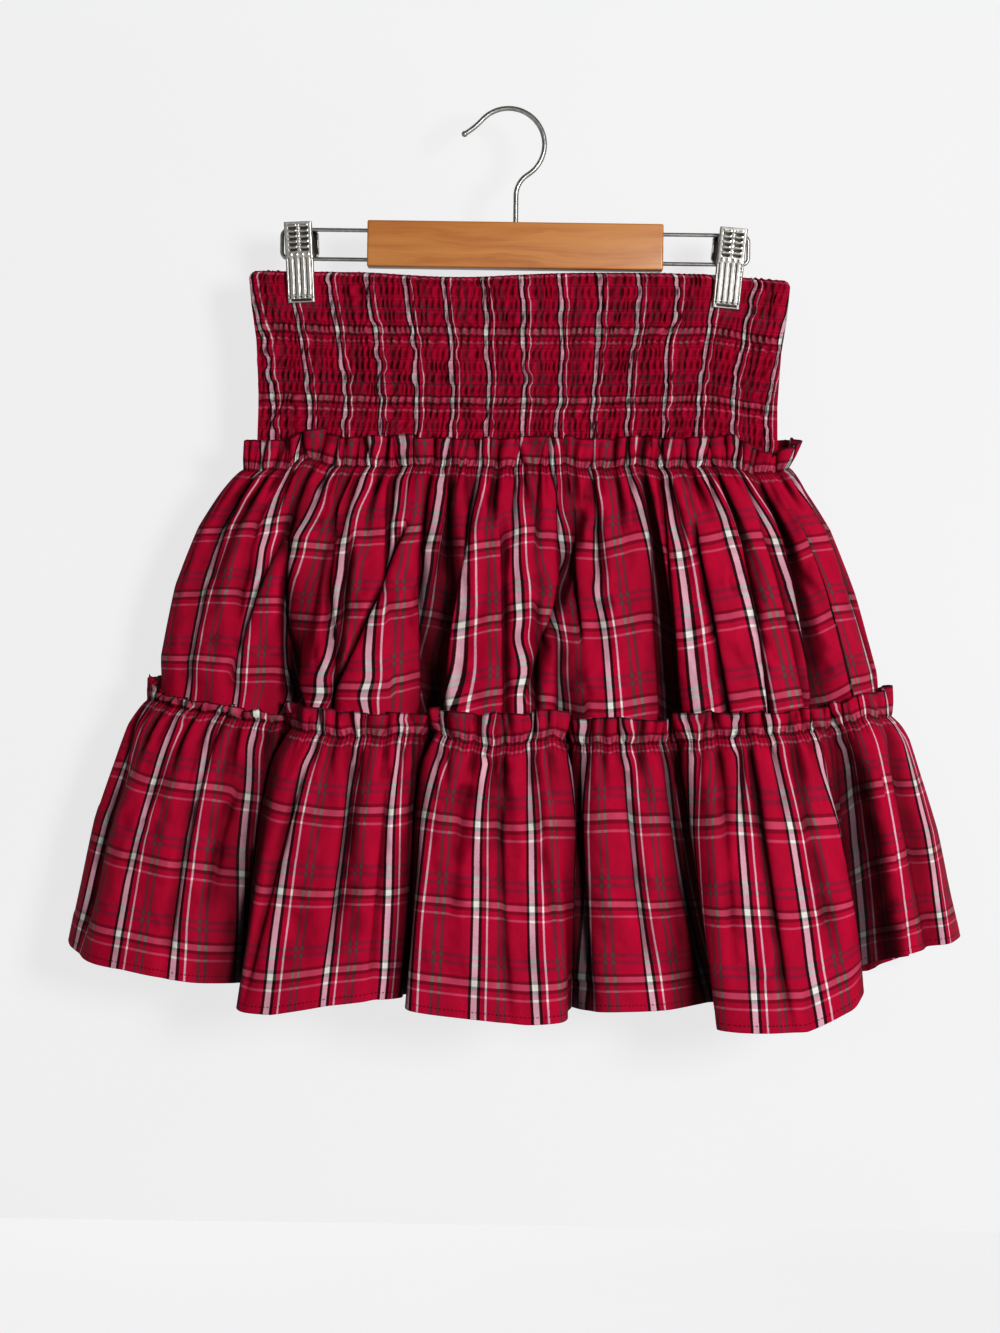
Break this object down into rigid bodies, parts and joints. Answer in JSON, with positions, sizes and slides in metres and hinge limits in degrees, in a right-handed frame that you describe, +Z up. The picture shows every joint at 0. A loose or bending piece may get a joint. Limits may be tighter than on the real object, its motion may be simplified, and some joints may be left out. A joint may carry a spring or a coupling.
{
  "type": "tiered skort on a clip hanger",
  "caption": "Plaid mini skort with a smocked waistband, gathered tiers with frills and plain inner shorts, hung by its waistband from a wooden hanger with steel clips.",
  "frame": {"origin": "the inner top of the hanger's hook, where a nail or rail carries it", "axes": "+Z up, front of the garment towards -Y, +X to the viewer's right"},
  "size_m": [0.5791, 0.1218, 0.5895],
  "materials": {
    "hanger_steel": "polished steel wire",
    "hanger_wood": "clear lacquered orange-tan wood",
    "clip_steel": "plated pressed steel",
    "smocked_plaid": "plaid cotton gathered on rows of elastic thread",
    "plaid_cotton": "smooth woven plaid cotton with a slight sheen",
    "shorts_knit": "plain fine knit"
  },
  "bodies": {
    "root": {"hanger_hook": "hanger_steel", "hanger_bar": "hanger_wood", "wire_left": "hanger_steel", "wire_right": "hanger_steel", "clip_left_front": "clip_steel", "clip_left_back": "clip_steel", "clip_left_spring": "clip_steel", "clip_right_front": "clip_steel", "clip_right_back": "clip_steel", "clip_right_spring": "clip_steel", "waistband_front": "smocked_plaid", "waistband_back": "smocked_plaid", "upper_tier_front": "plaid_cotton", "upper_tier_back": "plaid_cotton", "lower_tier_front": "plaid_cotton", "lower_tier_back": "plaid_cotton", "shorts_left": "shorts_knit", "shorts_right": "shorts_knit"}
  },
  "joints": []
}
